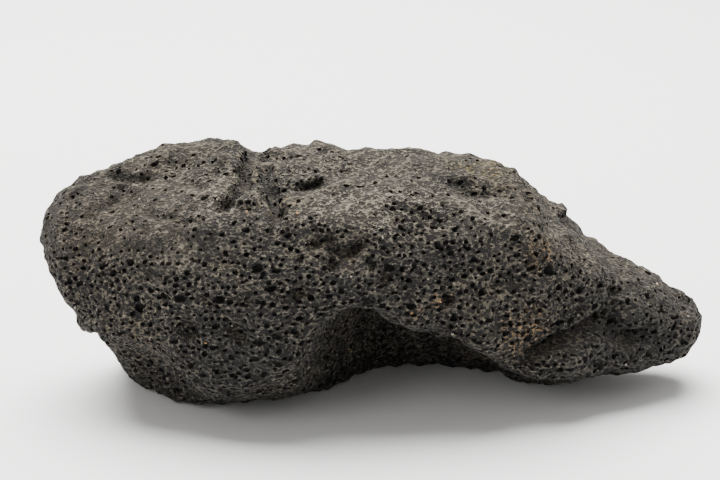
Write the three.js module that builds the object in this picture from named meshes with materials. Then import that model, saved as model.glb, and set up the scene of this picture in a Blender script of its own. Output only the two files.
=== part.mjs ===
// A black lava rock: one natural piece of vesicular basalt, about 210 mm long, lying on a table.
//
// Frame: millimetres, +Z up, +X along the rock towards its low, tapered end (the tail), and +Y
// towards its back. The origin is at the bottom centre of the rock's bounding box.
//
// The rock is described by a field that is negative inside the stone. The field joins rounded,
// faceted lumps, takes the hollows and creases out of them, and adds the unevenness of a broken
// lava surface. A mesh is then laid over the place where the field is zero.

import * as THREE from "three";
import { ImprovedNoise } from "three/addons/math/ImprovedNoise.js";

// ---- Driving dimensions, in millimetres ----------------------------------------------------

const CELL = 3.5; // mesh spacing: the finest shape that the solid holds is about twice this
const LOW = new THREE.Vector3(-113, -57, -8.75); // corners of the space that holds the rock
const HIGH = new THREE.Vector3(122, 62, 90);

const EDGE_ROUND = 3.2; // how far the edge between two facets is rounded over
const LUMP_BLEND = 4; // how softly one lump runs into the next
const HOLLOW_BLEND = 3; // how sharp the lip of a hollow is

// ---- The lumps: each is the space behind all of its facets ----------------------------------

// A facet is a broken face: a point that it passes through and the direction that it faces.
const facet = (x, y, z, nx, ny, nz) => ({
  point: new THREE.Vector3(x, y, z),
  faces: new THREE.Vector3(nx, ny, nz).normalize(),
});

const BODY = [
  facet(20, -12, 73.6, 0.08, -0.26, 0.96), // crown, tilted a little to the front
  facet(20, 26, 68.6, 0.07, 0.5, 0.86), // crown, falling away to the back
  facet(-62, -10, 72, -0.33, -0.36, 0.87), // broad shoulder at the blunt end
  facet(-62, 26, 73.2, -0.36, 0.42, 0.83), // the same shoulder behind
  facet(2, -34, 60, 0.06, -0.9, 0.42), // brow, above the front face
  facet(0, -39, 40, 0.1, -0.99, -0.1), // front face
  facet(-55, -33, 40, -0.38, -0.9, 0.18), // front face, turning to the blunt end
  facet(-30, -29, 6, -0.1, -0.83, -0.55), // front face, tucked under
  facet(50, -22, 17, 0.1, -0.42, -0.9), // front face, tucked under beside the tail
  facet(-98, 0, 56, -0.95, -0.12, 0.3), // blunt end
  facet(-90, 0, 32, -0.82, -0.2, -0.53), // blunt end, undercut
  facet(-8, 47, 34, -0.16, 0.97, 0.17), // back face
  facet(30, 46, 40, 0.22, 0.95, 0.2), // back face, behind the shoulder
  facet(-60, 38, 30, -0.55, 0.82, 0.1), // back face, turning to the blunt end
  facet(20, 38, 10, 0.1, 0.84, -0.53), // back face, tucked under
  facet(0, 0, -6, 0, 0, -1), // underside
  facet(56, 0, 60, 0.78, 0.02, 0.62), // shoulder above the tail
  facet(50, -26, 45, 0.55, -0.82, 0.15), // front face, turning to the tail
  facet(56, 34, 40, 0.6, 0.79, 0.1), // back face, turning to the tail
  facet(84, 0, 20, 1, 0, 0.05), // where the body ends inside the tail
];

const TAIL = [
  facet(86, 8, 37.6, 0.38, -0.12, 0.9), // top
  facet(86, 28, 33, 0.4, 0.5, 0.76), // top, falling away to the back
  facet(84, -12, 22, 0.3, -0.93, 0.18), // front
  facet(84, -12, 14, 0.1, -0.46, -0.88), // front, tucked under
  facet(110.5, 12, 32, 0.84, 0.0, 0.54), // tip, above
  facet(113.5, 12, 20, 0.98, 0.0, -0.08), // tip
  facet(106, 12, 9.5, 0.6, -0.1, -0.78), // tip, undercut
  facet(111, 0, 20, 0.84, -0.54, 0.0), // tip, towards the front
  facet(111, 23, 20, 0.82, 0.57, 0.0), // tip, towards the back
  facet(80, 32, 20, 0.24, 0.97, 0.05), // back
  facet(80, 27, 8, 0.14, 0.72, -0.66), // back, tucked under
  facet(80, 14, -5, 0, 0, -1), // underside
  facet(28, 0, 20, -0.95, 0.25, -0.2), // where the tail ends inside the body
];

// ---- Rounded lumps added and hollows taken out: centre, half-widths and turn about Z --------

const egg = (x, y, z, rx, ry, rz, turn = 0) => ({
  centre: new THREE.Vector3(x, y, z),
  half: new THREE.Vector3(rx, ry, rz),
  turn: THREE.MathUtils.degToRad(turn),
});

const KNOBS = [
  egg(58, 30, 42, 8, 8, 8, 20), // knob behind the shoulder above the tail
];

const HOLLOWS = [
  egg(-3, -43, 5, 17, 63, 37, -12), // the arch under the front, at its highest
  egg(18, -42, 0, 21, 60, 33, -8), // the arch, falling towards the tail
  egg(36, -40, -6, 25, 56, 25, 0), // the arch, running out beside the tail
  egg(-78, -38, 2, 33, 36, 29, 0), // scoop under the blunt end
  egg(16, 66, 26, 30, 22, 26, 12), // dent in the back
  egg(-46, 62, 56, 24, 20, 17, -20), // dent in the back, near the top
  egg(-60, 56, 8, 22, 18, 14, 20), // dent in the back, near the table
  egg(-34, 16, -1, 19, 13, 4, 15), // underside, shallow dish
  egg(74, 22, -1, 9, 7, 3, -10), // underside of the tail, shallow dish
];

// ---- Creases: lines along which the surface sinks --------------------------------------------

const crease = (depth, width, ...points) => ({
  depth,
  width,
  path: points.map((p) => new THREE.Vector3(...p)),
});

const CREASES = [
  // the cleft in the crown, over the brow
  crease(3.4, 3.2, [-34, 12, 77], [-34, -4, 77], [-35, -12, 75], [-36.5, -19, 73.5], [-39, -26, 70]),
  crease(3.4, 3, [-29.5, 10, 77], [-27, -5, 75.5], [-24.5, -15, 72.5], [-23.5, -23, 68]), // its right arm
  crease(3.2, 4.5, [-31, 14, 77], [-31, 28, 74], [-28, 40, 64], [-20, 48, 50]), // down the back
  crease(3, 3, [26, -15, 73.5], [32, -16.5, 72.5], [36.5, -17.5, 71.5], [41.5, -15, 71]), // crevice
  crease(2.6, 3, [-13.5, -35.5, 61], [-9, -35, 62.5]), // slot in the brow
  crease(3.4, 3.2, [-8, -36, 59.5], [-3, -35.5, 58.5], [0.5, -34, 62]), // slot in the brow
  crease(4, 4.5, [50, -28, 23.5], [59, -25, 27], [68, -21, 31], [74, -17, 34]), // groove in the tail's front
  crease(3, 7, [-75, -11, 66], [-66, -6, 72], [-58, -4, 75]), // dip in the blunt shoulder
  crease(3, 4.5, [-72, 36, 18], [-62, 42, 44], [-50, 34, 66]), // back, near the blunt end
  crease(3, 5, [44, 46, 30], [62, 40, 24], [80, 36, 20]), // back of the tail
];

// ---- Unevenness: noise at a few sizes -------------------------------------------------------

const ROUGHNESS = [
  { size: 46, height: 2.0 },
  { size: 19, height: 1.4 },
  { size: 9, height: 0.7 },
];

// ---- The field -------------------------------------------------------------------------------

const noise = new ImprovedNoise();

function softMax(values, round) {
  const top = Math.max(...values);
  const sum = values.reduce((total, v) => total + Math.exp((v - top) / round), 0);
  return top + round * Math.log(sum);
}

const softMin = (values, round) => -softMax(values.map((v) => -v), round);

function behindFacets(p, facets) {
  const out = facets.map((f) => f.faces.dot(p) - f.faces.dot(f.point));
  return softMax(out, EDGE_ROUND);
}

function insideEgg(p, { centre, half, turn }) {
  const q = p.clone().sub(centre).applyAxisAngle(new THREE.Vector3(0, 0, 1), -turn);
  const scaled = q.clone().divide(half);
  const slope = q.divide(half).divide(half).length();
  const r = scaled.length();
  return r < 1e-6 ? -Math.min(half.x, half.y, half.z) : (r * (r - 1)) / slope;
}

function distanceToPath(p, path) {
  const near = new THREE.Vector3();
  let best = Infinity;
  for (let i = 1; i < path.length; i++) {
    new THREE.Line3(path[i - 1], path[i]).closestPointToPoint(p, true, near);
    best = Math.min(best, near.distanceTo(p));
  }
  return best;
}

function field(p) {
  let f = softMin([behindFacets(p, BODY), behindFacets(p, TAIL)], LUMP_BLEND);
  for (const knob of KNOBS) f = softMin([f, insideEgg(p, knob)], HOLLOW_BLEND);
  for (const hollow of HOLLOWS) f = softMax([f, -insideEgg(p, hollow)], HOLLOW_BLEND);
  for (const { depth, width, path } of CREASES) {
    f += depth * Math.exp(-((distanceToPath(p, path) / width) ** 2));
  }
  for (const { size, height } of ROUGHNESS) {
    f += height * noise.noise(p.x / size + 7.3, p.y / size + 2.1, p.z / size + 4.7);
  }
  return Math.max(f, -p.z); // worn level where it rests
}

// ---- The mesh: one point in each cell that the surface crosses ------------------------------

function layMesh(value, low, high, cell) {
  const size = high.clone().sub(low).divideScalar(cell).ceil();
  const [nx, ny, nz] = size.toArray();
  const at = (i, j, k) => i + (nx + 1) * (j + (ny + 1) * k);
  const values = new Float64Array((nx + 1) * (ny + 1) * (nz + 1));
  const p = new THREE.Vector3();
  for (let k = 0; k <= nz; k++)
    for (let j = 0; j <= ny; j++)
      for (let i = 0; i <= nx; i++) {
        p.set(i, j, k).multiplyScalar(cell).add(low);
        values[at(i, j, k)] = value(p);
      }

  const corners = [0, 1, 2, 3, 4, 5, 6, 7].map((c) => [c & 1, (c >> 1) & 1, c >> 2]);
  const edges = [];
  for (let a = 0; a < 8; a++)
    for (const bit of [1, 2, 4]) if (!(a & bit)) edges.push([a, a | bit]);

  const points = [];
  const pointOf = new Map();
  for (let k = 0; k < nz; k++)
    for (let j = 0; j < ny; j++)
      for (let i = 0; i < nx; i++) {
        const v = corners.map(([x, y, z]) => values[at(i + x, j + y, k + z)]);
        const crossed = edges.filter(([a, b]) => v[a] < 0 !== v[b] < 0);
        if (!crossed.length) continue;
        const mean = new THREE.Vector3();
        for (const [a, b] of crossed) {
          const start = new THREE.Vector3(...corners[a]);
          const end = new THREE.Vector3(...corners[b]);
          mean.add(start.lerp(end, v[a] / (v[a] - v[b])));
        }
        mean.divideScalar(crossed.length).add(new THREE.Vector3(i, j, k));
        pointOf.set(at(i, j, k), points.length / 3);
        points.push(...mean.multiplyScalar(cell).add(low).toArray());
      }

  const faces = [];
  const steps = [at(1, 0, 0), at(0, 1, 0), at(0, 0, 1)].map((s) => s - at(0, 0, 0));
  for (let k = 1; k < nz; k++)
    for (let j = 1; j < ny; j++)
      for (let i = 1; i < nx; i++) {
        const here = at(i, j, k);
        for (let axis = 0; axis < 3; axis++) {
          const inside = values[here] < 0;
          if (inside === values[here + steps[axis]] < 0) continue;
          const u = steps[(axis + 1) % 3];
          const w = steps[(axis + 2) % 3];
          const quad = [here, here - u, here - u - w, here - w].map((c) => pointOf.get(c));
          if (!inside) quad.reverse();
          faces.push(quad[0], quad[1], quad[2], quad[0], quad[2], quad[3]);
        }
      }

  return new THREE.BufferGeometry()
    .setAttribute("position", new THREE.Float32BufferAttribute(points, 3))
    .setIndex(faces);
}

// ---- The part --------------------------------------------------------------------------------

const stone = layMesh(field, LOW, HIGH, CELL);
stone.computeBoundingBox();
const centre = stone.boundingBox.getCenter(new THREE.Vector3());
stone.translate(-centre.x, -centre.y, 0);
stone.computeVertexNormals();

const basalt = new THREE.MeshStandardMaterial({ color: 0x4a4846, roughness: 0.95, metalness: 0 });
const rock = new THREE.Mesh(stone, basalt);
rock.name = "lava_rock";

const part = new THREE.Group();
part.add(rock);

export default part;
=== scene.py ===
import math

import bmesh
import bpy
import numpy as np
from bpy.props import FloatProperty, FloatVectorProperty, IntProperty, PointerProperty
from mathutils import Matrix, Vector
from mathutils.bvhtree import BVHTree
from mathutils.kdtree import KDTree


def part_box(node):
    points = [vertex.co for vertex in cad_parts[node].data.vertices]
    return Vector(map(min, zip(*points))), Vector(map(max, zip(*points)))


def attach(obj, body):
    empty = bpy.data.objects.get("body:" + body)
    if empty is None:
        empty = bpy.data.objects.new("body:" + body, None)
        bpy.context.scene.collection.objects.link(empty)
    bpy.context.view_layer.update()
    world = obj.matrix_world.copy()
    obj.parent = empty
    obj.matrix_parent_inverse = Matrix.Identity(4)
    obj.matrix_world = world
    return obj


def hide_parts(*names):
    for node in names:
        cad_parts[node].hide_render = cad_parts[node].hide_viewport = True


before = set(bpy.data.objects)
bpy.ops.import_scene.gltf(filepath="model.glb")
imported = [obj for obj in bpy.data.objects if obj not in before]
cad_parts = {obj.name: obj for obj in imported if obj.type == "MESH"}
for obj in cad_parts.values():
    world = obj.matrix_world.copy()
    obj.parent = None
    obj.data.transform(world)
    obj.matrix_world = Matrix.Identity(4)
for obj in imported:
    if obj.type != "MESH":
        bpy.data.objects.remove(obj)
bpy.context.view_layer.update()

bl_info = {
    "name": "Lava rock",
    "version": (1, 0, 0),
    "blender": (4, 5, 0),
    "location": "3D View > Sidebar > Lava rock",
    "description": "A piece of frothy basalt with an arch under it, on a pale studio floor",
    "category": "Object",
}

MM = 0.001
LOW, HIGH = (Vector(corner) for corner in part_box("lava_rock"))
SIZE = HIGH - LOW

# The gas bubbles were drawn out this way while the lava was still moving.
FLOW = Vector((0.90, 0.05, 0.42)).normalized()

# The mesh is evened out at the first size before its creases are cut, at the second before its
# bubbles are, and then thinned to this many triangles.
SKIN_CELL = 0.9 * MM
FINE_CELL = 0.65 * MM
MOST_TRIANGLES = 198000
SHARP_EDGE = math.radians(48)

# A loose crumb that the bubbles cut off has fewer corners than this.
CRUMB_CORNERS = 5000
# How far the middle of a bubble lies under the skin, as a share of its radius.
BUBBLE_SUNK = 0.42
# Candidate bubbles tried in each square of their least distance.
BUBBLE_CROWD = 2.2

# Sizes of the patterns in the mesh and in the material, worked from the stone.
LUMP = 13 * MM
GRIT = 4.2 * MM
ROPE = 5 * MM
CHIP = 7.5 * MM
BUBBLE = 1.0 * MM
FROTH = 0.58 * MM
FROTH_PATCH = 5 * MM
STREAK = 1.2 * MM
WANDER = 1.5 * MM
MOTTLE = 16 * MM
GRAIN = 0.8 * MM
CHALK = 3 * MM
RUST_BLOT = 1.3 * MM
MOSS_BLOT = 2.4 * MM
GLINT = 0.4 * MM

# The stone's six sides on one square sheet, for its surface's map: which way a side faces, the
# directions that run across and up it, and its corner's place on the sheet, in millimetres.
SHEET = 372
SHEET_SIDES = [((0, -1, 0), 0, 2, (4, 4)), ((0, 1, 0), 0, 2, (4, 95)),
               ((0, 0, 1), 0, 1, (4, 186)), ((0, 0, -1), 0, 1, (4, 280)),
               ((-1, 0, 0), 1, 2, (220, 4)), ((1, 0, 0), 1, 2, (220, 95))]

# Creases, crevices and slots: a name, points along it as shares of the stone's box,
# its width and depth in millimetres, and the way it was pushed in, or None for straight in.
CREASES = [
    ("left of the crown lump", [(0.322, 0.56, 0.96), (0.318, 0.48, 0.95), (0.314, 0.416, 0.947),
     (0.312, 0.343, 0.92), (0.306, 0.272, 0.898), (0.3, 0.24, 0.88)], 2.6, 4.0, None),
    ("right of the crown lump", [(0.333, 0.483, 0.96), (0.343, 0.367, 0.936), (0.351, 0.296, 0.909),
     (0.359, 0.225, 0.877), (0.361, 0.135, 0.848), (0.356, 0.087, 0.791)], 2.4, 4.2, None),
    ("nook left of the lump", [(0.315, 0.274, 0.905), (0.304, 0.256, 0.889), (0.294, 0.229, 0.875),
     (0.28, 0.195, 0.855), (0.266, 0.175, 0.845)], 2.0, 3.2, (0.3, 0.6, -0.7)),
    ("nook right of the lump", [(0.387, 0.269, 0.907), (0.405, 0.278, 0.912), (0.426, 0.303, 0.915)],
     2.0, 3.6, (0, 0.8, -0.6)),
    ("crevice under the crown's fold", [(0.597, 0.293, 0.891), (0.614, 0.279, 0.877),
     (0.637, 0.281, 0.869), (0.66, 0.297, 0.867), (0.679, 0.322, 0.87)], 1.1, 2.2, (0, 0.9, -0.3)),
    ("wrinkle above the fold", [(0.564, 0.407, 0.938), (0.585, 0.387, 0.929), (0.6, 0.345, 0.912),
     (0.606, 0.312, 0.893)], 1.1, 1.6, None),
    ("upper slot in the brow", [(0.41, 0.078, 0.754), (0.421, 0.089, 0.769), (0.44, 0.095, 0.774)], 1.8,
     4.0, (0, 1, -0.1)),
    ("lower slot in the brow", [(0.436, 0.084, 0.741), (0.452, 0.081, 0.723), (0.467, 0.087, 0.732),
     (0.478, 0.103, 0.767)], 1.8, 4.2, (0, 1, -0.1)),
    ("groove across the tail", [(0.7, 0.17, 0.262), (0.721, 0.186, 0.286), (0.764, 0.218, 0.327),
     (0.806, 0.264, 0.37), (0.84, 0.303, 0.382)], 3.2, 5.6, (0, 0.9, 0.4)),
    ("first slash in the tail", [(0.798, 0.26, 0.392), (0.825, 0.276, 0.353), (0.843, 0.285, 0.338)],
     1.1, 2.6, (0, 0.9, 0.3)),
    ("second slash in the tail", [(0.819, 0.289, 0.396), (0.836, 0.31, 0.411), (0.858, 0.322, 0.414)],
     1.0, 2.4, (0, 0.9, 0.3)),
    ("third slash in the tail", [(0.843, 0.272, 0.295), (0.868, 0.293, 0.298), (0.887, 0.319, 0.314)],
     1.2, 2.4, (0, 0.9, 0.3)),
    ("hollow in the tail", [(0.825, 0.276, 0.353), (0.863, 0.289, 0.31), (0.912, 0.353, 0.287)], 4.6,
     4.0, (0, 0.9, 0.3)),
    ("gouge on the blunt shoulder", [(0.107, 0.378, 0.793), (0.128, 0.402, 0.824)], 1.8, 1.6, None),
    ("first gouge above it", [(0.122, 0.43, 0.843), (0.14, 0.44, 0.868)], 1.6, 1.8, (0, 0.7, -0.7)),
    ("second gouge above it", [(0.152, 0.446, 0.884), (0.18, 0.44, 0.903)], 1.6, 1.7, (0, 0.7, -0.7)),
    ("chisel mark above it", [(0.093, 0.512, 0.877), (0.126, 0.47, 0.88), (0.171, 0.43, 0.885)], 1.8,
     1.6, None),
    ("chisel mark below it", [(0.146, 0.34, 0.818), (0.18, 0.234, 0.817), (0.254, 0.145, 0.811)], 1.8,
     1.5, None),
    ("chisel mark at the end", [(0.045, 0.438, 0.804), (0.06, 0.446, 0.821), (0.074, 0.457, 0.837)],
     1.8, 1.6, None),
    ("chisel mark by the lump", [(0.233, 0.35, 0.91), (0.257, 0.266, 0.9)], 2.0, 1.6, None),
    ("first wrinkle of the slope", [(0.681, 0.514, 0.916), (0.7, 0.415, 0.889), (0.72, 0.355, 0.832),
     (0.739, 0.289, 0.759)], 1.5, 1.5, None),
    ("second wrinkle of the slope", [(0.651, 0.482, 0.926), (0.676, 0.369, 0.897),
     (0.695, 0.276, 0.841), (0.707, 0.202, 0.772)], 1.5, 1.4, None),
    ("third wrinkle of the slope", [(0.706, 0.52, 0.88), (0.738, 0.425, 0.789), (0.77, 0.38, 0.7)], 1.5,
     1.5, None),
    ("flat on the blunt end", [(0.0, 0.42, 0.68), (0.0, 0.52, 0.62)], 9.0, 1.3, None),
    ("under the lip", [(0.105, 0.5, 0.285), (0.1, 0.36, 0.3), (0.1, 0.24, 0.34), (0.111, 0.19, 0.36),
     (0.138, 0.16, 0.352), (0.172, 0.13, 0.358), (0.201, 0.1, 0.335), (0.225, 0.084, 0.3)], 3.0, 2.6,
     None),
    ("crease down the back", [(0.33, 0.8, 0.97), (0.34, 0.95, 0.8), (0.37, 0.98, 0.6),
     (0.36, 0.99, 0.42)], 2.6, 3.4, None),
    ("slanting crease on the back", [(0.53, 0.95, 0.79), (0.57, 0.97, 0.7), (0.63, 0.97, 0.68),
     (0.67, 0.95, 0.61)], 2.0, 2.6, (0, -0.9, -0.4)),
    ("slot on the back", [(0.2, 0.93, 0.66), (0.26, 0.97, 0.6), (0.3, 0.99, 0.61)], 2.0, 3.4,
     (0, -1, 0)),
    ("groove behind the tail", [(0.77, 0.85, 0.52), (0.81, 0.86, 0.42), (0.87, 0.83, 0.39)], 2.4, 2.2,
     None),
    ("crease on the blunt end", [(0.02, 0.45, 0.62), (0.03, 0.6, 0.55), (0.06, 0.78, 0.52)], 2.2, 3.0,
     None),
]

# Folds that stand proud, in the same form: their width, and how far they stand out.
FOLDS = [
    ("upper lobe of the crown lump", [(0.328, 0.38, 0.935), (0.33, 0.3, 0.91)], 3.0, 1.2),
    ("lower lobe of the crown lump", [(0.325, 0.24, 0.885), (0.318, 0.17, 0.85)], 5.0, 2.4),
    ("fold above the crevice", [(0.576, 0.354, 0.924), (0.619, 0.36, 0.915), (0.65, 0.345, 0.9)], 3.5,
     2.0),
    ("fold along the brow", [(0.462, 0.205, 0.882), (0.531, 0.196, 0.88), (0.587, 0.177, 0.845)], 3.0,
     1.2),
    ("lump below the tail's groove", [(0.76, 0.19, 0.26), (0.81, 0.22, 0.28)], 6.0, 2.0),
    ("knob on the slope", [(0.774, 0.65, 0.705), (0.786, 0.64, 0.67)], 4.5, 2.6),
    ("lip on the blunt end", [(0.085, 0.6, 0.345), (0.078, 0.45, 0.355), (0.08, 0.34, 0.37),
     (0.084, 0.26, 0.39), (0.093, 0.221, 0.4), (0.111, 0.18, 0.403), (0.138, 0.155, 0.405),
     (0.172, 0.119, 0.412), (0.201, 0.091, 0.385)], 3.6, 1.6),
    ("left bank of the cleft", [(0.285, 0.56, 0.985), (0.3, 0.5, 0.975)], 4.5, 1.6),
    ("right bank of the cleft", [(0.338, 0.53, 0.975), (0.356, 0.5, 0.975)], 3.6, 1.8),
    ("fold on the back", [(0.5, 0.95, 0.84), (0.6, 0.97, 0.74), (0.69, 0.95, 0.66)], 4.0, 2.0),
    ("lip on the back", [(0.1, 0.8, 0.42), (0.18, 0.88, 0.36), (0.27, 0.92, 0.34)], 4.0, 2.0),
]

# Gas bubbles wide enough to be known one by one: a place and a width in millimetres.
KNOWN_PORES = [
    ((0.234, 0.066, 0.438), 4.6), ((0.31, 0.012, 0.45), 4.0), ((0.492, 0.063, 0.693), 3.4),
    ((0.514, 0.054, 0.648), 3.4), ((0.441, 0.057, 0.684), 3.2), ((0.601, 0.079, 0.555), 3.2),
    ((0.393, 0.051, 0.709), 3.0), ((0.868, 0.3, 0.52), 3.4), ((0.62, 0.96, 0.5), 4.2),
    ((0.824, 0.31, 0.518), 3.0), ((0.892, 0.444, 0.464), 2.8), ((0.916, 0.454, 0.431), 2.6),
    ((0.833, 0.356, 0.531), 2.6), ((0.8, 0.25, 0.45), 2.8), ((0.261, 0.053, 0.565), 2.8),
    ((0.296, 0.022, 0.465), 3.0), ((0.393, 0.025, 0.615), 2.8), ((0.325, 0.016, 0.581), 2.6),
    ((0.22, 0.97, 0.62), 3.8), ((0.44, 0.99, 0.36), 3.4), ((0.04, 0.4, 0.45), 3.6),
]

# Where the stone is stained, bleached or dark: places as shares of the box and their reach in
# millimetres.
STAINS = {
    "rust": [((0.729, 0.192, 0.681), 7.0), ((0.71, 0.148, 0.39), 11.0), ((0.588, 0.073, 0.55), 3.6),
             ((0.551, 0.058, 0.514), 3.2), ((0.48, 0.96, 0.6), 9.0), ((0.12, 0.75, 0.35), 8.0)],
    "moss": [((0.65, 0.461, 0.925), 14.0), ((0.362, 0.194, 0.868), 7.0), ((0.314, 0.343, 0.93), 6.0),
             ((0.3, 0.8, 0.85), 12.0)],
    "brown": [((0.15, 0.15, 0.3), 22.0), ((0.11, 0.25, 0.25), 16.0), ((0.08, 0.3, 0.7), 24.0),
              ((0.2, 0.9, 0.25), 22.0)],
    "bleached": [((0.226, 0.115, 0.699), 8.0), ((0.304, 0.362, 0.926), 7.0),
                 ((0.269, 0.204, 0.865), 9.0), ((0.434, 0.181, 0.873), 10.0),
                 ((0.503, 0.174, 0.875), 12.0), ((0.559, 0.195, 0.868), 12.0),
                 ((0.636, 0.189, 0.833), 9.0), ((0.672, 0.215, 0.824), 9.0), ((0.4, 0.85, 0.86), 14.0),
                 ((0.7, 0.85, 0.8), 12.0)],
    # Darker low down, round the stone's foot.
    "darker_low_down": [((0.9, 0.25, 0.22), 44.0), ((0.5, 0.1, 0.3), 34.0), ((0.3, 0.0, 0.3), 30.0),
              ((0.55, 1.0, 0.25), 40.0)],
}

# Crystals and rusty crumbs set in the skin: a place, and 0 for pale crystal to 1 for rust.
KNOWN_GRAINS = [
    ((0.463, 0.046, 0.651), 0.1), ((0.611, 0.119, 0.739), 0.1), ((0.57, 0.079, 0.634), 0.2),
    ((0.275, 0.226, 0.88), 0.0), ((0.389, 0.145, 0.856), 1.0), ((0.588, 0.073, 0.55), 0.7),
    ((0.551, 0.058, 0.514), 0.8), ((0.26, 0.04, 0.4), 0.9), ((0.833, 0.33, 0.47), 0.0),
    ((0.97, 0.45, 0.34), 0.1), ((0.602, 0.1, 0.56), 0.3),
]


def linear(code):
    """A colour's sRGB hex code as linear red, green, blue."""
    parts = [int(code[at:at + 2], 16) / 255 for at in (1, 3, 5)]
    return tuple(p / 12.92 if p <= 0.04045 else ((p + 0.055) / 1.055) ** 2.4 for p in parts)


def at(share):
    """A place given as shares of the stone's box, in metres."""
    return Vector([LOW[i] + share[i] * SIZE[i] for i in range(3)])


def add(tree, kind, feeds=None, **settings):
    """Adds one node: settings go on the node, and feeds set or link its inputs."""
    made = tree.nodes.new(kind)
    for name, value in settings.items():
        setattr(made, name, value)
    for name, value in (feeds or {}).items():
        if isinstance(value, bpy.types.NodeSocket):
            tree.links.new(value, made.inputs[name])
        elif isinstance(value, bpy.types.Node):
            tree.links.new(value.outputs[0], made.inputs[name])
        else:
            made.inputs[name].default_value = value
    return made


def settle(piece):
    """Turns what a piece's modifiers make into its own plain mesh."""
    graph = bpy.context.evaluated_depsgraph_get()
    made = bpy.data.meshes.new_from_object(piece.evaluated_get(graph))
    piece.modifiers.clear()
    before = piece.data
    piece.data = made
    bpy.data.meshes.remove(before)


def run_tree(piece, tree, sizes, given):
    """Runs a tree on a piece once and keeps the plain mesh. Each input gets what is given under
    its name, or else the size of that name from the panel."""
    modifier = piece.modifiers.new(tree.name, "NODES")
    modifier.node_group = tree
    for item in tree.interface.items_tree:
        if item.item_type == "SOCKET" and item.in_out == "INPUT" and item.name != "Geometry":
            held = getattr(sizes, item.name.lower().replace(" ", "_"), None)
            modifier[item.identifier] = given.get(item.name, held)
    settle(piece)


def dress(mesh, material):
    """Leaves the mesh with this one material."""
    mesh.materials.clear()
    mesh.materials.append(material)


def new_tree(name, inputs):
    """An empty geometry tree that takes and gives a mesh, with named inputs."""
    tree = bpy.data.node_groups.new(name, "GeometryNodeTree")
    tree.interface.new_socket("Geometry", in_out="INPUT", socket_type="NodeSocketGeometry")
    tree.interface.new_socket("Geometry", in_out="OUTPUT", socket_type="NodeSocketGeometry")
    for label, kind in inputs:
        tree.interface.new_socket(label, in_out="INPUT", socket_type="NodeSocket" + kind)
    return tree, tree.nodes.new("NodeGroupInput")


def close_tree(tree, shape, material):
    """Ends a tree: real meshes, with their material."""
    real = add(tree, "GeometryNodeRealizeInstances", {0: shape})
    dressed = add(tree, "GeometryNodeSetMaterial", {"Geometry": real, "Material": material})
    add(tree, "NodeGroupOutput", {0: dressed})


def corners(mesh, what="co"):
    """A mesh's corner places, or normals, as an array."""
    flat = np.empty(len(mesh.vertices) * 3, dtype=np.float32)
    mesh.vertices.foreach_get(what, flat)
    return flat.reshape(-1, 3).astype(np.float64)


def put_corners(mesh, places):
    """Moves a mesh's corners to the places in an array."""
    mesh.vertices.foreach_set("co", places.astype(np.float32).ravel())
    mesh.update()


def mark(mesh, name, values):
    """Keeps one number for each corner under a name, for the material to read."""
    layer = mesh.attributes.get(name) or mesh.attributes.new(name, "FLOAT", "POINT")
    layer.data.foreach_set("value", values.astype(np.float32))


def off_line(places, line):
    """Each place's distance from a line through points, and its share of the way along."""
    best = np.full(len(places), 1e9)
    share = np.zeros(len(places))
    steps = [np.linalg.norm(b - a) for a, b in zip(line, line[1:])]
    gone = 0.0
    for (a, b), step in zip(zip(line, line[1:]), steps):
        along = np.clip((places - a) @ (b - a) / step ** 2, 0, 1)
        gap = np.linalg.norm(places - a - along[:, None] * (b - a), axis=1)
        near = gap < best
        best[near] = gap[near]
        share[near] = (gone + along[near] * step) / sum(steps)
        gone += step
    return best, share


def skin_of(mesh):
    """A mesh's surface, to ask for the nearest point on it."""
    work = bmesh.new()
    work.from_mesh(mesh)
    found = BVHTree.FromBMesh(work)
    work.free()
    return found


def shape_skin(mesh, strength):
    """Presses the creases in, raises the folds and opens the widest pores. Gives back where the corners
    now are and how far each lies in a crease, from 0 to 1, which weights the painted shade in the
    creases."""
    skin = skin_of(mesh)
    places = corners(mesh)
    inward = -corners(mesh, "normal")
    push = np.zeros_like(places)
    creased = np.zeros(len(places))
    rows = [(points, width, depth, way) for _, points, width, depth, way in CREASES]
    rows += [(points, width, -depth, None) for _, points, width, depth in FOLDS]
    for points, width, depth, way in rows:
        line = [np.array(skin.find_nearest(at(p))[0]) for p in points]
        gap, share = off_line(places, line)
        inside = gap < width * MM
        bowl = (1 - (gap[inside] / (width * MM)) ** 2) ** 1.5
        taper = np.clip(np.sin(math.pi * np.clip(share[inside], 0.06, 0.94)) * 1.8, 0, 1)
        amount = (depth * MM * strength * bowl * taper)[:, None]
        # How far in a crease, as the weight of the painted shade there.
        creased[inside] = np.maximum(creased[inside], bowl ** 2 * taper * min(depth / 3.6, 1))
        if way is None:
            push[inside] += inward[inside] * amount
        else:
            push[inside] += np.array(Vector(way).normalized()) * amount
    for share, width in KNOWN_PORES:
        spot = np.array(skin.find_nearest(at(share))[0])
        gap = np.linalg.norm(places - spot, axis=1)
        inside = gap < width * MM * 0.62
        bowl = (1 - (gap[inside] / (width * MM * 0.62)) ** 2) ** 0.8
        push[inside] += inward[inside] * (width * MM * 0.9 * bowl)[:, None]
    put_corners(mesh, places + push)
    return places + push, creased


def in_creases(places, pressed, creased):
    """How far each place lies in a crease, from 0 to 1, by the nearest pressed corner, as the weight of
    the painted shade in the creases.
    """
    deep = np.flatnonzero(creased > 0.08)
    tree = KDTree(len(deep))
    for number, corner in enumerate(deep):
        tree.insert(pressed[corner], number)
    tree.balance()
    found = np.zeros(len(places))
    for number, place in enumerate(places):
        _, nearest, gap = tree.find(place)
        found[number] = creased[deep[nearest]] * np.clip((3.0 - gap / MM) / 1.5, 0, 1)
    return found


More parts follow.
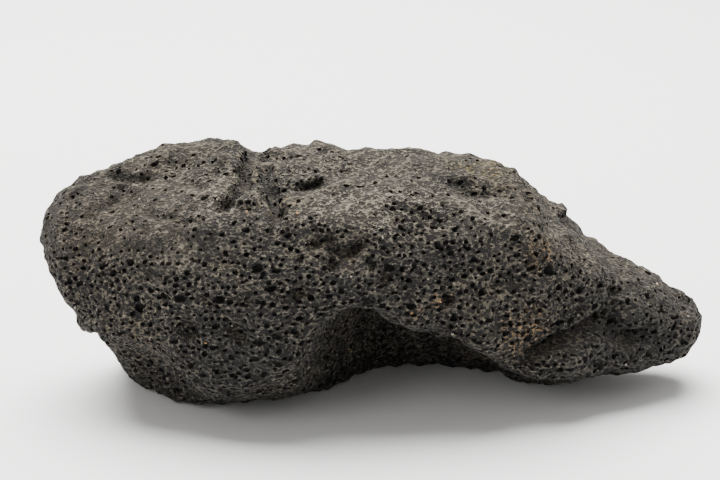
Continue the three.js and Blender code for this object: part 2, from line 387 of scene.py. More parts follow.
def relief_tree():
    """Rough lumps all over and ropy wrinkles where the skin cooled on top."""
    tree, given = new_tree("Broken skin", [("Lump height", "Float"), ("Grit height", "Float"),
                                           ("Chip height", "Float"), ("Wrinkle height", "Float"),
                                           ("Material", "Material")])
    place = add(tree, "GeometryNodeInputPosition")
    facing = add(tree, "GeometryNodeInputNormal")
    lumps = add(tree, "ShaderNodeTexNoise", {"Vector": place, "Scale": 1 / LUMP, "Detail": 2.0})
    lump = add(tree, "ShaderNodeMath", {0: lumps.outputs["Fac"], 1: 0.5}, operation="SUBTRACT")
    lump_up = add(tree, "ShaderNodeMath", {0: lump, 1: given.outputs["Lump height"]},
                  operation="MULTIPLY")
    grits = add(tree, "ShaderNodeTexNoise", {"Vector": place, "Scale": 1 / GRIT, "Detail": 3.0,
                                             "Roughness": 0.6})
    grit = add(tree, "ShaderNodeMath", {0: grits.outputs["Fac"], 1: 0.5}, operation="SUBTRACT")
    grit_up = add(tree, "ShaderNodeMath", {0: grit, 1: given.outputs["Grit height"]},
                  operation="MULTIPLY")
    turned = add(tree, "ShaderNodeVectorRotate",
                 {"Vector": place, "Axis": (0, 0, 1), "Angle": math.radians(28)})
    drawn = add(tree, "ShaderNodeVectorMath", {0: turned, 1: (0.22, 1.0, 0.8)},
                operation="MULTIPLY")
    ropes = add(tree, "ShaderNodeTexNoise", {"Vector": drawn, "Scale": 1 / ROPE, "Detail": 1.5,
                                             "Distortion": 0.6})
    rope = add(tree, "ShaderNodeMath", {0: ropes.outputs["Fac"], 1: 0.5}, operation="SUBTRACT")
    rope_up = add(tree, "ShaderNodeMath", {0: rope, 1: given.outputs["Wrinkle height"]},
                  operation="MULTIPLY")
    split = add(tree, "ShaderNodeSeparateXYZ", {0: facing})
    top = add(tree, "ShaderNodeMapRange", {"Value": split.outputs["Z"], "From Min": 0.2,
                                           "From Max": 0.8})
    rope_top = add(tree, "ShaderNodeMath", {0: rope_up, 1: top}, operation="MULTIPLY")
    bent = add(tree, "ShaderNodeVectorMath", {0: grits.outputs["Color"], "Scale": 4 * MM},
               operation="SCALE")
    spot = add(tree, "ShaderNodeVectorMath", {0: place, 1: bent}, operation="ADD")
    chips = add(tree, "ShaderNodeTexVoronoi", {"Vector": spot, "Scale": 1 / CHIP})
    chip = add(tree, "ShaderNodeMath", {0: 0.45, 1: chips.outputs["Distance"]},
               operation="SUBTRACT")
    chip_up = add(tree, "ShaderNodeMath", {0: chip, 1: given.outputs["Chip height"], 2: lump_up},
                  operation="MULTIPLY_ADD")
    both = add(tree, "ShaderNodeMath", {0: chip_up, 1: grit_up}, operation="ADD")
    total = add(tree, "ShaderNodeMath", {0: both, 1: rope_top}, operation="ADD")
    shift = add(tree, "ShaderNodeVectorMath", {0: facing, "Scale": total}, operation="SCALE")
    moved = add(tree, "GeometryNodeSetPosition", {"Geometry": given.outputs["Geometry"],
                                                  "Offset": shift})
    close_tree(tree, moved, given.outputs["Material"])
    return tree


def pore_tree():
    """Scatters gas bubbles of three widths under the skin and cuts them all out at once."""
    inputs = [("Seed", "Int"), ("Material", "Material")]
    for name in ("Wide", "Middle", "Small"):
        inputs += [(name + " width", "Float"), (name + " gap", "Float")]
    tree, given = new_tree("Burst bubbles", inputs)
    porous = add(tree, "GeometryNodeInputNamedAttribute", {"Name": "porous"}, data_type="FLOAT")
    cutters = add(tree, "GeometryNodeJoinGeometry")
    for step, name in enumerate(("Wide", "Middle", "Small")):
        width = given.outputs[name + " width"]
        seed = add(tree, "ShaderNodeMath", {0: given.outputs["Seed"], 1: 10.0 * step},
                   operation="ADD")
        gap = given.outputs[name + " gap"]
        room = add(tree, "ShaderNodeMath", {0: gap, 1: -2.0}, operation="POWER")
        crowd = add(tree, "ShaderNodeMath", {0: room, 1: BUBBLE_CROWD}, operation="MULTIPLY")
        spots = add(tree, "GeometryNodeDistributePointsOnFaces",
                    {"Mesh": given.outputs["Geometry"], "Distance Min": gap,
                     "Density Max": crowd, "Density Factor": porous, "Seed": seed},
                    distribute_method="POISSON")
        grown = add(tree, "FunctionNodeRandomValue", {2: 0.62, 3: 1.25, "Seed": seed},
                    data_type="FLOAT")
        open_skin = add(tree, "ShaderNodeMath", {0: porous, 1: 0.35, 2: 0.68},
                        operation="MULTIPLY_ADD")
        usual = add(tree, "ShaderNodeMath", {0: width, 1: open_skin}, operation="MULTIPLY")
        across = add(tree, "ShaderNodeMath", {0: usual, 1: grown.outputs[1]}, operation="MULTIPLY")
        half = add(tree, "ShaderNodeMath", {0: across, 1: 0.5}, operation="MULTIPLY")
        sink = add(tree, "ShaderNodeMath", {0: half, 1: -BUBBLE_SUNK}, operation="MULTIPLY")
        under = add(tree, "ShaderNodeVectorMath",
                    {0: spots.outputs["Normal"], "Scale": sink}, operation="SCALE")
        sunk = add(tree, "GeometryNodeSetPosition", {"Geometry": spots.outputs["Points"],
                                                     "Offset": under})
        ball = add(tree, "GeometryNodeMeshUVSphere", {"Segments": 8, "Rings": 6, "Radius": 1.0})
        stretch = add(tree, "FunctionNodeRandomValue",
                      {0: (0.95, 0.75, 0.75), 1: (1.55, 1.15, 1.15), "Seed": seed},
                      data_type="FLOAT_VECTOR")
        wide = add(tree, "ShaderNodeVectorMath", {0: stretch.outputs[0], "Scale": half},
                   operation="SCALE")
        tilt = add(tree, "FunctionNodeRandomValue",
                   {0: (-0.55, -0.55, -0.55), 1: (0.55, 0.55, 0.55), "Seed": seed},
                   data_type="FLOAT_VECTOR")
        flow = add(tree, "ShaderNodeVectorMath", {0: tilt.outputs[0], 1: tuple(FLOW)},
                   operation="ADD")
        turn = add(tree, "FunctionNodeAlignRotationToVector", {"Vector": flow}, axis="X")
        balls = add(tree, "GeometryNodeInstanceOnPoints",
                    {"Points": sunk, "Instance": ball.outputs[0], "Rotation": turn, "Scale": wide})
        tree.links.new(balls.outputs[0], cutters.inputs[0])
    cut = add(tree, "GeometryNodeMeshBoolean", {0: given.outputs["Geometry"], 1: cutters},
              operation="DIFFERENCE", solver="MANIFOLD")
    # Walls that two bubbles cut right off would float, so only the stone itself is kept.
    island = add(tree, "GeometryNodeInputMeshIsland")
    count = add(tree, "GeometryNodeAccumulateField", {"Value": 1, "Group ID": island.outputs[0]},
                data_type="INT", domain="POINT")
    crumb = add(tree, "FunctionNodeCompare", {2: count.outputs["Total"], 3: CRUMB_CORNERS},
                data_type="INT", operation="LESS_THAN")
    whole = add(tree, "GeometryNodeDeleteGeometry", {"Geometry": cut, "Selection": crumb},
                domain="POINT")
    close_tree(tree, whole, given.outputs["Material"])
    return tree


def near_stains(places, stains):
    """How strongly each place is stained, from 0 to 1."""
    found = np.zeros(len(places))
    for share, reach in stains:
        gap = np.linalg.norm(places - np.array(at(share)), axis=1) / (reach * MM)
        found = np.maximum(found, np.clip(1 - gap, 0, 1))
    return found


def basalt_material(colours):
    """Vesicular basalt, broken and weather-beaten: matt, dark, frothy, paler on its rims, partly from
    wear and partly as a painted highlight, with painted shade in its pores, pits and creases. Its real
    froth goes down to tenths of a millimetre, and is drawn at 0.6 mm and up so that it shows."""
    material = bpy.data.materials.new("vesicular_basalt_weathered_and_toplit")
    material.use_nodes = True
    tree = material.node_tree
    tree.nodes.clear()
    kept = {name: add(tree, "ShaderNodeAttribute", attribute_name=name).outputs["Fac"]
            for name in ("depth", "rim", "weathered_and_toplit", "smeared", "creased", *STAINS)}
    shade = {name: tuple(getattr(colours, name)) + (1,) for name in
             ("fresh", "weathered_and_toplit", "rim", "pit", "rust", "moss", "brown", "darker_low_down")}
    place = add(tree, "ShaderNodeTexCoord").outputs["Object"]
    # Uneven patterns, each with what is drawn from it: between a low and a high value of the
    # noise, it rises from the bottom to the top.
    uneven, drawn_from = {}, {}
    for name, size, detail, rough, low, high, bottom, top in (
            ("patch", FROTH_PATCH, 2.0, 0.5, 0.35, 0.60, 0.35, 1.0),
            ("mottle", MOTTLE, 3.0, 0.5, 0.35, 0.65, 0.0, 1.0),
            ("grit", GRAIN, 4.0, 0.7, 0.48, 0.70, 0.0, 0.8),
            ("chalk", CHALK, 3.0, 0.7, 0.34, 0.60, 0.0, 0.8),
            ("rust", RUST_BLOT, 3.0, 0.7, 0.46, 0.62, 0.0, 0.85),
            ("moss", MOSS_BLOT, 3.0, 0.7, 0.46, 0.62, 0.0, 0.85)):
        uneven[name] = add(tree, "ShaderNodeTexNoise", {"Vector": place, "Scale": 1 / size,
                                                        "Detail": detail, "Roughness": rough})
        drawn_from[name] = add(tree, "ShaderNodeMapRange",
                               {"Value": uneven[name], "From Min": low, "From Max": high,
                                "To Min": bottom, "To Max": top})

    # Bubbles are drawn out along the flow, and their outlines wander.
    drawn = add(tree, "ShaderNodeMapping", {"Vector": place, "Rotation": (0, math.radians(25), 0),
                                            "Scale": (0.7, 1.0, 1.0)})
    wander = add(tree, "ShaderNodeTexNoise", {"Vector": place, "Scale": 1 / WANDER,
                                              "Detail": 2.0})
    nudge = add(tree, "ShaderNodeVectorMath", {0: wander.outputs["Color"], "Scale": 0.7 * MM},
                operation="SCALE")
    bent = add(tree, "ShaderNodeVectorMath", {0: drawn, 1: nudge}, operation="ADD")
    bubbles = add(tree, "ShaderNodeTexVoronoi", {"Vector": bent, "Scale": 1 / BUBBLE})
    hollow = add(tree, "ShaderNodeMapRange",
                 {"Value": bubbles.outputs["Distance"], "From Min": 0.42, "From Max": 0.60,
                  "To Min": 1.0, "To Max": 0.0}, interpolation_type="SMOOTHSTEP")
    # Weathered and smeared skin is closed over, so its bubbles show less.
    lain = add(tree, "ShaderNodeMath", {0: kept["weathered_and_toplit"], 1: 0.8}, operation="MULTIPLY")
    shut = add(tree, "ShaderNodeMath", {0: kept["smeared"], 1: lain}, operation="MAXIMUM")
    tight = add(tree, "ShaderNodeMath", {0: shut, 1: -0.25, 2: 1.0}, operation="MULTIPLY_ADD")
    pit = add(tree, "ShaderNodeMath", {0: hollow, 1: tight}, operation="MULTIPLY")
    # Finer froth fills the walls between the bubbles, in patches.
    froth = add(tree, "ShaderNodeTexVoronoi", {"Vector": bent, "Scale": 1 / FROTH})
    fine = add(tree, "ShaderNodeMapRange",
               {"Value": froth.outputs["Distance"], "From Min": 0.36, "From Max": 0.60,
                "To Min": 1.0, "To Max": 0.0}, interpolation_type="SMOOTHSTEP")
    froth_pit = add(tree, "ShaderNodeMath", {0: fine, 1: drawn_from["patch"]},
                    operation="MULTIPLY")
    # Smeared skin has fine streaks along the flow.
    combed = add(tree, "ShaderNodeMapping", {"Vector": place, "Rotation": (0, math.radians(22), 0),
                                             "Scale": (0.16, 0.7, 1.0)})
    streak = add(tree, "ShaderNodeTexNoise", {"Vector": combed, "Scale": 1 / STREAK,
                                              "Detail": 3.0, "Roughness": 0.6})

    # The stone goes from dark and fresh to a paler brown in broad mottles and where it faces up, partly
    # weathering and partly painted light from above, and brown in places.
    lain = add(tree, "ShaderNodeMath", {0: kept["weathered_and_toplit"], 1: 0.75}, operation="MULTIPLY")
    aged_and_toplit = add(tree, "ShaderNodeMath", {0: drawn_from["mottle"], 1: 0.35, 2: lain},
               operation="MULTIPLY_ADD")
    stone = add(tree, "ShaderNodeMix", {"Factor": aged_and_toplit, 6: shade["fresh"], 7: shade["weathered_and_toplit"]},
                data_type="RGBA")
    browned = add(tree, "ShaderNodeMath", {0: kept["brown"], 1: 0.8}, operation="MULTIPLY")
    # Pale grains all over are wear; on the pore rims they are raised further as a painted highlight.
    lip = add(tree, "ShaderNodeMath", {0: kept["rim"], 1: 0.6, 2: 0.4}, operation="MULTIPLY_ADD")
    wear_and_highlight = add(tree, "ShaderNodeMath", {0: drawn_from["grit"], 1: lip}, operation="MULTIPLY")
    pale = add(tree, "ShaderNodeMath", {0: kept["bleached"], 1: drawn_from["chalk"]},
               operation="MULTIPLY")
    # Darker low down, round the stone's foot.
    low_darkening = add(tree, "ShaderNodeMath", {0: kept["darker_low_down"], 1: 0.75}, operation="MULTIPLY")
    rusted, mossed = [add(tree, "ShaderNodeMath", {0: kept[name], 1: drawn_from[name]},
                          operation="MULTIPLY") for name in ("rust", "moss")]
    # Painted shade: the hollows between streaks, the pits and the cut pores are painted nearly black
    # inside, and the creases darker.
    gutter = add(tree, "ShaderNodeMapRange", {"Value": streak, "From Min": 0.52,
                                              "From Max": 0.40, "To Max": 0.8})
    gutters = add(tree, "ShaderNodeMath", {0: gutter, 1: kept["smeared"]}, operation="MULTIPLY")
    pitted = add(tree, "ShaderNodeMath", {0: pit, 1: froth_pit}, operation="MAXIMUM")
    holes = add(tree, "ShaderNodeMath", {0: pitted, 1: gutters}, operation="MAXIMUM")
    dark = add(tree, "ShaderNodeMath", {0: holes, 1: 0.96}, operation="MULTIPLY")
    sunk = add(tree, "ShaderNodeMath", {0: kept["creased"], 1: 0.8}, operation="MULTIPLY")
    darker = add(tree, "ShaderNodeMath", {0: dark, 1: sunk}, operation="MAXIMUM")
    inside = add(tree, "ShaderNodeMath", {0: kept["depth"], 1: darker}, operation="MAXIMUM")
    for amount, name in ((browned, "brown"), (wear_and_highlight, "rim"), (pale, "rim"), (low_darkening, "darker_low_down"),
                         (rusted, "rust"), (mossed, "moss"), (inside, "pit")):
        stone = add(tree, "ShaderNodeMix", {"Factor": amount, 6: stone.outputs[2],
                                            7: shade[name]}, data_type="RGBA")

    # The same patterns stand in or out of the surface by tenths of a millimetre.
    deep = add(tree, "ShaderNodeMath", {0: froth_pit, 1: -0.28 * MM}, operation="MULTIPLY")
    deeper = add(tree, "ShaderNodeMath", {0: pit, 1: -0.65 * MM, 2: deep},
                 operation="MULTIPLY_ADD")
    gritty = add(tree, "ShaderNodeMath", {0: uneven["grit"], 1: 0.30 * MM, 2: deeper},
                 operation="MULTIPLY_ADD")
    comb = add(tree, "ShaderNodeMath", {0: streak, 1: kept["smeared"]}, operation="MULTIPLY")
    height = add(tree, "ShaderNodeMath", {0: comb, 1: 0.65 * MM, 2: gritty},
                 operation="MULTIPLY_ADD")
    bump = add(tree, "ShaderNodeBump", {"Height": height, "Distance": 1.0, "Strength": 1.0})
    shader = add(tree, "ShaderNodeBsdfPrincipled",
                 {"Base Color": stone.outputs[2], "Roughness": 0.94, "IOR": 1.5,
                  "Specular IOR Level": 0.35, "Normal": bump})
    add(tree, "ShaderNodeOutputMaterial", {"Surface": shader})
    return material


def merged_copy(node, name):
    """A copy of a CAD node's mesh with its loose triangles joined, as a new piece."""
    mesh = node.data.copy()
    mesh.name = name
    work = bmesh.new()
    work.from_mesh(mesh)
    bmesh.ops.remove_doubles(work, verts=work.verts, dist=0.001 * MM)
    work.to_mesh(mesh)
    work.free()
    piece = bpy.data.objects.new(name, mesh)
    bpy.context.scene.collection.objects.link(piece)
    return piece


def remesh(piece, cell):
    """Makes a piece anew from even faces about as wide as the cell."""
    modifier = piece.modifiers.new("Even mesh", "REMESH")
    modifier.mode = "VOXEL"
    modifier.voxel_size = cell
    settle(piece)


def trim(mesh):
    """Cuts off the loose slivers that thinning leaves, so that every edge joins two faces."""
    work = bmesh.new()
    work.from_mesh(mesh)
    slivers = [face for face in work.faces
               if sum(len(edge.link_faces) == 1 for edge in face.edges) > 1]
    bmesh.ops.delete(work, geom=slivers, context="FACES")
    loose = [edge for edge in work.edges if not edge.link_faces]
    bmesh.ops.delete(work, geom=loose, context="EDGES")
    bmesh.ops.dissolve_degenerate(work, dist=0.001 * MM, edges=work.edges[:])
    bmesh.ops.triangulate(work, faces=work.faces[:])
    work.to_mesh(mesh)
    work.free()


def lay_flat(mesh, shape):
    """Unfolds the stone onto one sheet by the side of the plain shape that each face is on."""
    centres = np.empty(len(mesh.polygons) * 3, dtype=np.float32)
    mesh.polygons.foreach_get("center", centres)
    facing = np.array([shape.find_nearest(Vector(c))[1] for c in centres.reshape(-1, 3)])
    sides = np.array([side[0] for side in SHEET_SIDES])
    chosen = np.argmax(facing @ sides.T, axis=1)
    counts = np.empty(len(mesh.polygons), dtype=np.int32)
    mesh.polygons.foreach_get("loop_total", counts)
    chosen = np.repeat(chosen, counts)
    used = np.empty(len(mesh.loops), dtype=np.int32)
    mesh.loops.foreach_get("vertex_index", used)
    places = (corners(mesh)[used] - np.array(LOW)) / MM
    flat = np.zeros((len(used), 2))
    for number, (_, across, up, corner) in enumerate(SHEET_SIDES):
        here = chosen == number
        flat[here] = (places[here][:, (across, up)] + corner) / SHEET
    sheet = mesh.uv_layers.new(name="OFBake")
    sheet.data.foreach_set("uv", flat.astype(np.float32).ravel())


def rest_flat(mesh):
    """Nothing of the stone goes under the floor it stands on."""
    places = corners(mesh)
    places[:, 2] = np.maximum(places[:, 2], LOW.z)
    put_corners(mesh, places)


def noise_at(places, size, seed):
    """Smooth noise from 0 to 1 on a grid of random numbers, the same on every run."""
    draw = np.random.default_rng(seed)
    table = draw.random((64, 64, 64))
    spot = places / (size * MM) + 31.4
    low = np.floor(spot).astype(int)
    part = spot - low
    part = part * part * (3 - 2 * part)
    total = np.zeros(len(places))
    for i in (0, 1):
        for j in (0, 1):
            for k in (0, 1):
                weight = np.abs(1 - i - part[:, 0]) * np.abs(1 - j - part[:, 1]) \
                    * np.abs(1 - k - part[:, 2])
                total += weight * table[(low[:, 0] + i) % 64, (low[:, 1] + j) % 64,
                                        (low[:, 2] + k) % 64]
    return total


def smeared_at(places, up):
    """How far the skin was smeared shut, from 0 to 1: most over the blunt shoulder."""
    share = (places - np.array(LOW)) / np.array(SIZE)
    shoulder = np.clip((0.36 - share[:, 0]) / 0.16, 0, 1) * np.clip((share[:, 2] - 0.55) / 0.2, 0, 1)
    slope = np.clip((share[:, 0] - 0.50) / 0.12, 0, 1) * np.clip((up - 0.35) / 0.3, 0, 1) * 0.7
    return np.clip(np.maximum(shoulder, slope) * (0.35 + 1.1 * noise_at(places, 11, 9)), 0, 1)


def openness(mesh):
    """How thickly bubbles burst through each place: less where the skin was smeared shut, on top
    and underneath."""
    places = corners(mesh)
    up = np.clip(corners(mesh, "normal")[:, 2], 0, 1)
    below = np.clip(-corners(mesh, "normal")[:, 2], 0, 1) ** 2
    uneven = noise_at(places, 14, 3)
    closed = np.maximum(1.1 * up ** 1.5 * (0.45 + uneven), 0.75 * smeared_at(places, up))
    return np.clip(1.1 - closed - 0.7 * below, 0.20, 1)


def rims_of(mesh, depth):
    """Picks the corners on the lips of the pores, where the material paints a highlight: 1 there and 0
    elsewhere.
    """
    ends = np.empty(len(mesh.edges) * 2, dtype=np.int32)
    mesh.edges.foreach_get("vertices", ends)
    ends = ends.reshape(-1, 2)
    rim = np.zeros(len(depth))
    for near_end, far_end in ((0, 1), (1, 0)):
        lip = (depth[ends[:, near_end]] < 0.1) & (depth[ends[:, far_end]] > 0.2)
        rim[ends[lip, near_end]] = 1
    return rim


def mark_surface(mesh, skin, pressed, creased):
    """Keeps at each corner what the material asks about it: how deep in a pore it lies and how far in a
    crease, for the painted shade there; whether it is on a rim, for the painted highlight; how far it
    faces up, for a paler tone that is partly weathering and partly painted light from above; and how
    strongly each stain reaches it."""
    places = corners(mesh)
    near = [skin.find_nearest(Vector(p)) for p in places]
    gap = np.array([n[3] for n in near])
    up = np.array([n[1].z for n in near])
    depth = np.clip((gap - 0.08 * MM) / (0.75 * MM), 0, 1)
    uneven = noise_at(places, 18, 5)
    mark(mesh, "depth", depth)
    mark(mesh, "rim", rims_of(mesh, depth))
    # Paler where the skin faces up: partly weathering, partly painted light from above.
    mark(mesh, "weathered_and_toplit", np.clip((up - 0.15) * 1.2 + (uneven - 0.5) * 0.8, 0, 1))
    mark(mesh, "smeared", smeared_at(places, up))
    mark(mesh, "creased", in_creases(places, pressed, creased))
    for name, stains in STAINS.items():
        mark(mesh, name, near_stains(places, stains))


def length(name, description, millimetres, least=0.0):
    """A length to set in the panel."""
    return FloatProperty(name=name, description=description, default=millimetres * MM,
                         min=least * MM, subtype="DISTANCE", unit="LENGTH")


def tint(name, description, code):
    """A colour to set in the panel."""
    return FloatVectorProperty(name=name, description=description, default=linear(code),
                               subtype="COLOR", size=3)


class StoneSizes(bpy.types.PropertyGroup):
    wide_width: length("Wide pore", "Width of the widest scattered pores", 2.5)
    wide_gap: length("Wide gap", "Least distance between wide pores", 10.0, least=1.0)
    middle_width: length("Middle pore", "Width of the middle pores", 1.75)
    middle_gap: length("Middle gap", "Least distance between middle pores", 3.4, least=1.0)
    small_width: length("Small pore", "Width of the small pores", 1.4)
    small_gap: length("Small gap", "Least distance between small pores", 1.85, least=1.0)
    lump_height: length("Lump height", "Height of the broken lumps", 3.6)
    grit_height: length("Grit height", "Height of the coarse grit", 4.2)
    chip_height: length("Chip height", "Height of the broken chips", 1.6)
    wrinkle_height: length("Wrinkle height", "Height of the ropy wrinkles", 2.6)
    grain_width: length("Grain width", "Width of the mineral grains", 1.3)
    grain_gap: length("Grain gap", "Least distance between grains", 26.0)
    crease_depth: FloatProperty(name="Crease depth", description="How deep the creases go",
                                default=1.0, min=0.0, max=1.5)
    seed: IntProperty(name="Seed", description="Which scatter of pores", default=7)


class StoneColours(bpy.types.PropertyGroup):
    fresh: tint("Fresh", "Newly broken stone", "#32302b")
    # Partly weathering and partly painted light from above: the paler, browner tone of upward-facing
    # skin.
    weathered_and_toplit: tint("Weathered", "Stone that has lain in the open", "#5c5446")
    # Partly wear and partly a painted highlight on the pore rims; bleached patches take this colour
    # too.
    rim: tint("Rim", "Worn rims between the pores", "#8d8475")
    # Painted shade inside the pores, pits, streak hollows and creases.
    pit: tint("Pit", "Inside the pores", "#060505")
    rust: tint("Rust", "Iron stains", "#9a7440")
    moss: tint("Moss", "Ochre stains", "#7d6c3c")
    brown: tint("Brown", "Smooth brownish skin", "#443a2c")
    # Darker low down, round the stone's foot.
    darker_low_down: tint("Sooty", "The darkest, least weathered stone", "#232322")
    crystal: tint("Crystal", "Pale feldspar crystals", "#8d877a")
    crumb: tint("Crumb", "Rusted olivine crumbs", "#a8713c")


class Studio(bpy.types.PropertyGroup):
    floor: tint("Floor", "The floor's colour", "#f2f1ef")
    distance: FloatProperty(name="Camera distance", description="From the camera to its aim",
                            default=0.491, subtype="DISTANCE", unit="LENGTH")
    drop: FloatProperty(name="Camera drop", description="How steeply the camera looks down",
                        default=math.radians(19), subtype="ANGLE", unit="ROTATION")
    lens: FloatProperty(name="Lens", description="Focal length in millimetres", default=80.0)
    power: FloatProperty(name="Main light", description="Power of the soft light overhead",
                         default=100.0, subtype="POWER", unit="POWER")


class OBJECT_OT_lava_rock_stone(bpy.types.Operator):
    """Makes the stone itself, with its creases, wrinkles and burst bubbles"""
    bl_idname = "object.lava_rock_stone"
    bl_label = "Stone"

    def execute(self, context):
        sizes = context.scene.lava_rock_sizes
        material = basalt_material(context.scene.lava_rock_colours)
        stone = merged_copy(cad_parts["lava_rock"], "vesicular_stone")
        rounder = stone.modifiers.new("Rounder", "SUBSURF")
        rounder.levels = rounder.render_levels = 1
        remesh(stone, SKIN_CELL)
        pressed, creased = shape_skin(stone.data, sizes.crease_depth)
        run_tree(stone, relief_tree(), sizes, {"Material": material})
        rest_flat(stone.data)
        remesh(stone, FINE_CELL)
        rest_flat(stone.data)
        skin = skin_of(stone.data)
        mark(stone.data, "porous", openness(stone.data))
        run_tree(stone, pore_tree(), sizes, {"Material": material})
        triangles = sum(len(p.vertices) - 2 for p in stone.data.polygons)
        if triangles > MOST_TRIANGLES:
            thinner = stone.modifiers.new("Thinner", "DECIMATE")
            thinner.ratio = MOST_TRIANGLES / triangles
            settle(stone)
        mesh = stone.data
        trim(mesh)
        rest_flat(mesh)
        mark_surface(mesh, skin, pressed, creased)
        lay_flat(mesh, skin_of(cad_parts["lava_rock"].data))
        dress(mesh, material)
        mesh.shade_smooth()
        mesh.set_sharp_from_angle(angle=SHARP_EDGE)
        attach(stone, "root")
        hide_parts("lava_rock")
        return {"FINISHED"}


def grain_tree():
    """Sets a small faceted grain on every given point and on some scattered over the stone."""
    tree, given = new_tree("Set grains", [("Stone", "Object"), ("Grain width", "Float"),
                                          ("Grain gap", "Float"), ("Seed", "Int"),
                                          ("Material", "Material")])
    stone = add(tree, "GeometryNodeObjectInfo", {"Object": given.outputs["Stone"]})
    strewn = add(tree, "GeometryNodeDistributePointsOnFaces",
                 {"Mesh": stone.outputs["Geometry"], "Distance Min": given.outputs["Grain gap"],
                  "Density Max": 4000.0, "Seed": given.outputs["Seed"]},
                 distribute_method="POISSON")
    hue = add(tree, "FunctionNodeRandomValue", {2: -0.6, 3: 1.0, "Seed": given.outputs["Seed"]},
              data_type="FLOAT")
    hued = add(tree, "GeometryNodeStoreNamedAttribute",
               {"Geometry": strewn.outputs["Points"], "Name": "rusty", "Value": hue.outputs[1]},
               data_type="FLOAT", domain="POINT")
    known = add(tree, "GeometryNodeMeshToPoints", {"Mesh": given.outputs["Geometry"]})
    spots = add(tree, "GeometryNodeJoinGeometry")
    tree.links.new(hued.outputs[0], spots.inputs[0])
    tree.links.new(known.outputs[0], spots.inputs[0])
    grain = add(tree, "GeometryNodeMeshIcoSphere", {"Radius": 0.5, "Subdivisions": 1})
    size = add(tree, "FunctionNodeRandomValue",
               {0: (0.5, 0.45, 0.35), 1: (1.2, 0.9, 0.8), "Seed": given.outputs["Seed"]},
               data_type="FLOAT_VECTOR")
    wide = add(tree, "ShaderNodeVectorMath", {0: size.outputs[0],
                                              "Scale": given.outputs["Grain width"]}, operation="SCALE")
    turn = add(tree, "FunctionNodeRandomValue",
               {0: (0, 0, 0), 1: (6.28, 6.28, 6.28), "Seed": given.outputs["Seed"]},
               data_type="FLOAT_VECTOR")
    set_in = add(tree, "GeometryNodeInstanceOnPoints",
                 {"Points": spots, "Instance": grain.outputs[0], "Rotation": turn.outputs[0],
                  "Scale": wide})
    close_tree(tree, set_in, given.outputs["Material"])
    return tree


def grain_material(colours):
    """Feldspar crystals and rusted olivine, as broken: pale or ochre, with a dull glint."""
    material = bpy.data.materials.new("feldspar_and_rusted_olivine")
    material.use_nodes = True
    tree = material.node_tree
    tree.nodes.clear()
    rusty = add(tree, "ShaderNodeAttribute", attribute_name="rusty").outputs["Fac"]
    place = add(tree, "ShaderNodeTexCoord").outputs["Object"]
    grit = add(tree, "ShaderNodeTexNoise", {"Vector": place, "Scale": 1 / GLINT,
                                            "Detail": 2.0})
    hue = add(tree, "ShaderNodeMix", {"Factor": rusty, 6: tuple(colours.crystal) + (1,),
                                      7: tuple(colours.crumb) + (1,)}, data_type="RGBA")
    shade = add(tree, "ShaderNodeMapRange", {"Value": grit, "From Min": 0.4, "From Max": 0.65,
                                             "To Max": 0.6})
    colour = add(tree, "ShaderNodeMix", {"Factor": shade, 6: hue.outputs[2],
                                         7: tuple(colours.fresh) + (1,)}, data_type="RGBA")
    shader = add(tree, "ShaderNodeBsdfPrincipled", {"Base Color": colour.outputs[2],
                                                    "Roughness": 0.45, "IOR": 1.54})
    add(tree, "ShaderNodeOutputMaterial", {"Surface": shader})
    return material


class OBJECT_OT_lava_rock_grains(bpy.types.Operator):
    """Sets the pale crystals and rusty crumbs in the stone's skin"""
    bl_idname = "object.lava_rock_grains"
    bl_label = "Mineral grains"

    def execute(self, context):
        sizes = context.scene.lava_rock_sizes
        stone = bpy.data.objects["vesicular_stone"]
        skin = skin_of(stone.data)
        mesh = bpy.data.meshes.new("mineral_grains")
        mesh.from_pydata([skin.find_nearest(at(share))[0] for share, _ in KNOWN_GRAINS], [], [])
        mark(mesh, "rusty", np.array([rusty for _, rusty in KNOWN_GRAINS]))
        grains = bpy.data.objects.new("mineral_grains", mesh)
        context.scene.collection.objects.link(grains)
        material = grain_material(context.scene.lava_rock_colours)
        run_tree(grains, grain_tree(), sizes, {"Stone": stone, "Material": material})
        # The points on the stone bring its marks with them, and a grain only needs its hue.
        layers = grains.data.attributes
        spare = [layer.name for layer in layers
                 if not (layer.is_internal or layer.is_required
                         or layer.name in ("rusty", "sharp_face"))]
        for name in spare:
            layers.remove(layers[name])
        rest_flat(grains.data)
        dress(grains.data, material)
        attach(grains, "root")
        return {"FINISHED"}


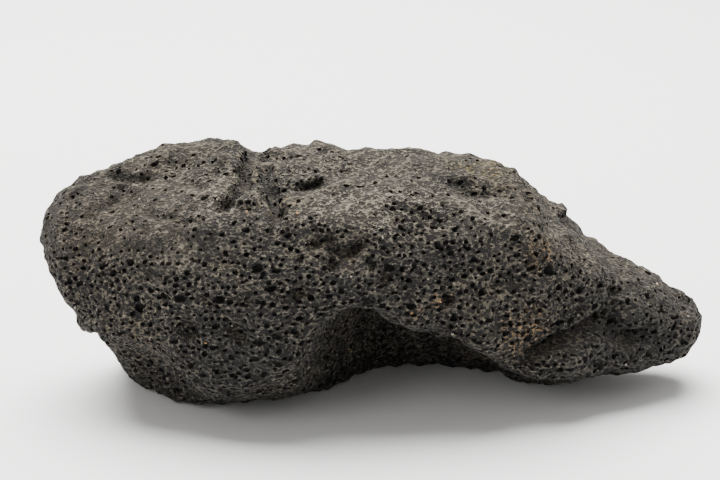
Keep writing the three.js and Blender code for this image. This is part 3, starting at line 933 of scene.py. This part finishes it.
class SCENE_OT_lava_rock_studio(bpy.types.Operator):
    """Sets the pale floor, the soft lights and the camera round the stone"""
    bl_idname = "scene.lava_rock_studio"
    bl_label = "Studio"

    def execute(self, context):
        studio = context.scene.lava_rock_studio
        material = bpy.data.materials.new("matt_paper_floor")
        material.use_nodes = True
        shader = material.node_tree.nodes["Principled BSDF"]
        shader.inputs["Base Color"].default_value = tuple(studio.floor) + (1,)
        shader.inputs["Roughness"].default_value = 0.9
        mesh = bpy.data.meshes.new("floor")
        reach = 4.0
        mesh.from_pydata([(-reach, -reach, 0), (reach, -reach, 0), (reach, reach, 0),
                          (-reach, reach, 0)], [], [(0, 1, 2, 3)])
        mesh.materials.append(material)
        floor = bpy.data.objects.new("floor", mesh)
        context.scene.collection.objects.link(floor)

        # Soft white all round, and a broad light high up behind, as in a light tent.
        world = bpy.data.worlds.new("Studio")
        world.use_nodes = True
        sky = world.node_tree.nodes["Background"]
        sky.inputs["Color"].default_value = (1, 1, 1, 1)
        sky.inputs["Strength"].default_value = 0.62
        context.scene.world = world

        for name, place, aim, wide, power in (
                ("Overhead", (-0.15, 0.45, 1.30), (-0.05, 0.35, 0.0), 1.6, studio.power),
                ("Fill", (-0.70, -0.90, 0.80), (0, 0, 0.03), 0.6, studio.power * 0.03)):
            light = bpy.data.lights.new(name, "AREA")
            light.shape = "DISK"
            light.size = wide
            light.energy = power
            lamp = bpy.data.objects.new(name, light)
            lamp.location = place
            lamp.rotation_euler = (Vector(aim) - Vector(place)).to_track_quat("-Z", "Y").to_euler()
            context.scene.collection.objects.link(lamp)

        aim = Vector((LOW.x + 0.4758 * SIZE.x, 0, LOW.z + 0.624 * SIZE.z))
        back = Vector((0, -math.cos(studio.drop), math.sin(studio.drop)))
        lens = bpy.data.cameras.new("Camera")
        lens.lens = studio.lens
        lens.sensor_width = 36
        lens.clip_start = 0.01
        camera = bpy.data.objects.new("Camera", lens)
        camera.location = aim + back * studio.distance
        camera.rotation_euler = (math.pi / 2 - studio.drop, 0, 0)
        context.scene.collection.objects.link(camera)
        context.scene.camera = camera
        return {"FINISHED"}


class VIEW3D_PT_lava_rock(bpy.types.Panel):
    bl_label = "Lava rock"
    bl_space_type = "VIEW_3D"
    bl_region_type = "UI"
    bl_category = "Lava rock"

    def draw(self, context):
        for group in ("lava_rock_sizes", "lava_rock_colours", "lava_rock_studio"):
            held = getattr(context.scene, group)
            for name in held.bl_rna.properties.keys():
                if name not in ("rna_type", "name"):
                    self.layout.prop(held, name)
        self.layout.operator("object.lava_rock_stone")
        self.layout.operator("object.lava_rock_grains")
        self.layout.operator("scene.lava_rock_studio")


CLASSES = (StoneSizes, StoneColours, Studio, OBJECT_OT_lava_rock_stone, OBJECT_OT_lava_rock_grains,
           SCENE_OT_lava_rock_studio, VIEW3D_PT_lava_rock)


def register():
    for made in CLASSES:
        bpy.utils.register_class(made)
    bpy.types.Scene.lava_rock_sizes = PointerProperty(type=StoneSizes)
    bpy.types.Scene.lava_rock_colours = PointerProperty(type=StoneColours)
    bpy.types.Scene.lava_rock_studio = PointerProperty(type=Studio)


def unregister():
    del bpy.types.Scene.lava_rock_studio
    del bpy.types.Scene.lava_rock_colours
    del bpy.types.Scene.lava_rock_sizes
    for made in reversed(CLASSES):
        bpy.utils.unregister_class(made)


def main():
    register()
    bpy.ops.object.lava_rock_stone()
    bpy.ops.object.lava_rock_grains()
    bpy.ops.scene.lava_rock_studio()


if __name__ == "__main__":
    main()
